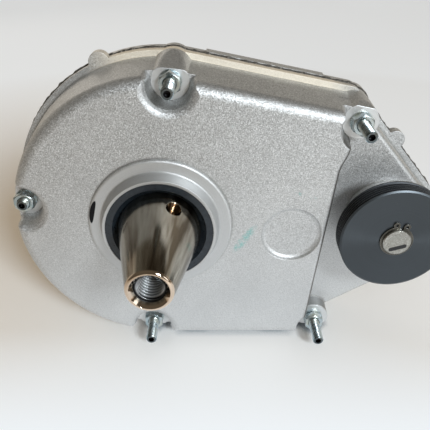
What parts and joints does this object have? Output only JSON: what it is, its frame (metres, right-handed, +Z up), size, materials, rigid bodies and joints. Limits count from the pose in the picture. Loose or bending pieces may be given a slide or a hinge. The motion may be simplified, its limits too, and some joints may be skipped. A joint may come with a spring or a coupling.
{
  "type": "mixer gear reducer",
  "caption": "Two-stage spur gear reducer in a split cast case, with a ribbed belt pulley on the input and a tapered, internally threaded output shaft.",
  "frame": {"origin": "on the output shaft's axis, in the plane of the flat case front", "axes": "+X from the output shaft towards the input pulley, +Y into the case, +Z up; the tapered shaft end points along -Y"},
  "size_m": [0.3147, 0.1697, 0.2145],
  "materials": {
    "cast_aluminium": "shot-blasted casting",
    "sealant": "matte",
    "zinc_steel": "bright zinc plate",
    "dowel_steel": "ground",
    "bearing_steel": "ground",
    "seal_rubber": "matte",
    "taper_steel": "polished",
    "gear_steel": "oiled, machined",
    "key_steel": "drawn",
    "spring_steel": "phosphated",
    "input_steel": "ground",
    "pulley_black": "satin"
  },
  "bodies": {
    "housing": {"front_cover": "cast_aluminium", "rear_cover": "cast_aluminium", "case_gasket": "sealant", "dowel_pin_1": "dowel_steel", "dowel_pin_2": "dowel_steel", "output_oil_seal": "seal_rubber", "input_oil_seal": "seal_rubber", "case_bolt_1": "zinc_steel", "case_bolt_2": "zinc_steel", "case_bolt_3": "zinc_steel", "case_bolt_4": "zinc_steel", "case_bolt_5": "zinc_steel", "case_washer_1": "zinc_steel", "case_washer_2": "zinc_steel", "case_washer_3": "zinc_steel", "case_washer_4": "zinc_steel", "case_washer_5": "zinc_steel", "case_nut_1": "zinc_steel", "case_nut_2": "zinc_steel", "case_nut_3": "zinc_steel", "case_nut_4": "zinc_steel", "case_nut_5": "zinc_steel", "output_front_outer_ring": "bearing_steel", "output_rear_outer_ring": "bearing_steel", "intermediate_front_outer_ring": "bearing_steel", "intermediate_rear_outer_ring": "bearing_steel", "input_front_outer_ring": "bearing_steel", "input_rear_outer_ring": "bearing_steel"},
    "output_rotor": {"output_shaft": "taper_steel", "output_wheel": "gear_steel", "output_key": "key_steel", "output_spacer": "gear_steel", "output_clip": "spring_steel", "output_front_inner_ring": "bearing_steel", "output_rear_inner_ring": "bearing_steel"},
    "intermediate_rotor": {"intermediate_shaft": "gear_steel", "intermediate_wheel": "gear_steel", "intermediate_key": "key_steel", "intermediate_clip": "spring_steel", "intermediate_front_inner_ring": "bearing_steel", "intermediate_rear_inner_ring": "bearing_steel"},
    "input_rotor": {"input_shaft": "input_steel", "drive_pulley": "pulley_black", "pulley_key": "key_steel", "pulley_clip": "spring_steel", "input_front_inner_ring": "bearing_steel", "input_rear_inner_ring": "bearing_steel"}
  },
  "joints": [
    {"name": "output_spin", "type": "hinge", "parent": "housing", "child": "output_rotor", "pos_m": [0, 0, 0], "axis": [0, 1, 0], "continuous": true},
    {"name": "intermediate_spin", "type": "hinge", "parent": "housing", "child": "intermediate_rotor", "pos_m": [0.08955, 0, -0.009], "axis": [0, 1, 0], "continuous": true},
    {"name": "input_spin", "type": "hinge", "parent": "housing", "child": "input_rotor", "pos_m": [0.15852, 0, -0.007], "axis": [0, 1, 0], "continuous": true}
  ],
  "couplings": [
    {"joint": "intermediate_spin", "follows": "output_spin", "ratio": -5},
    {"joint": "input_spin", "follows": "output_spin", "ratio": 21.538}
  ]
}
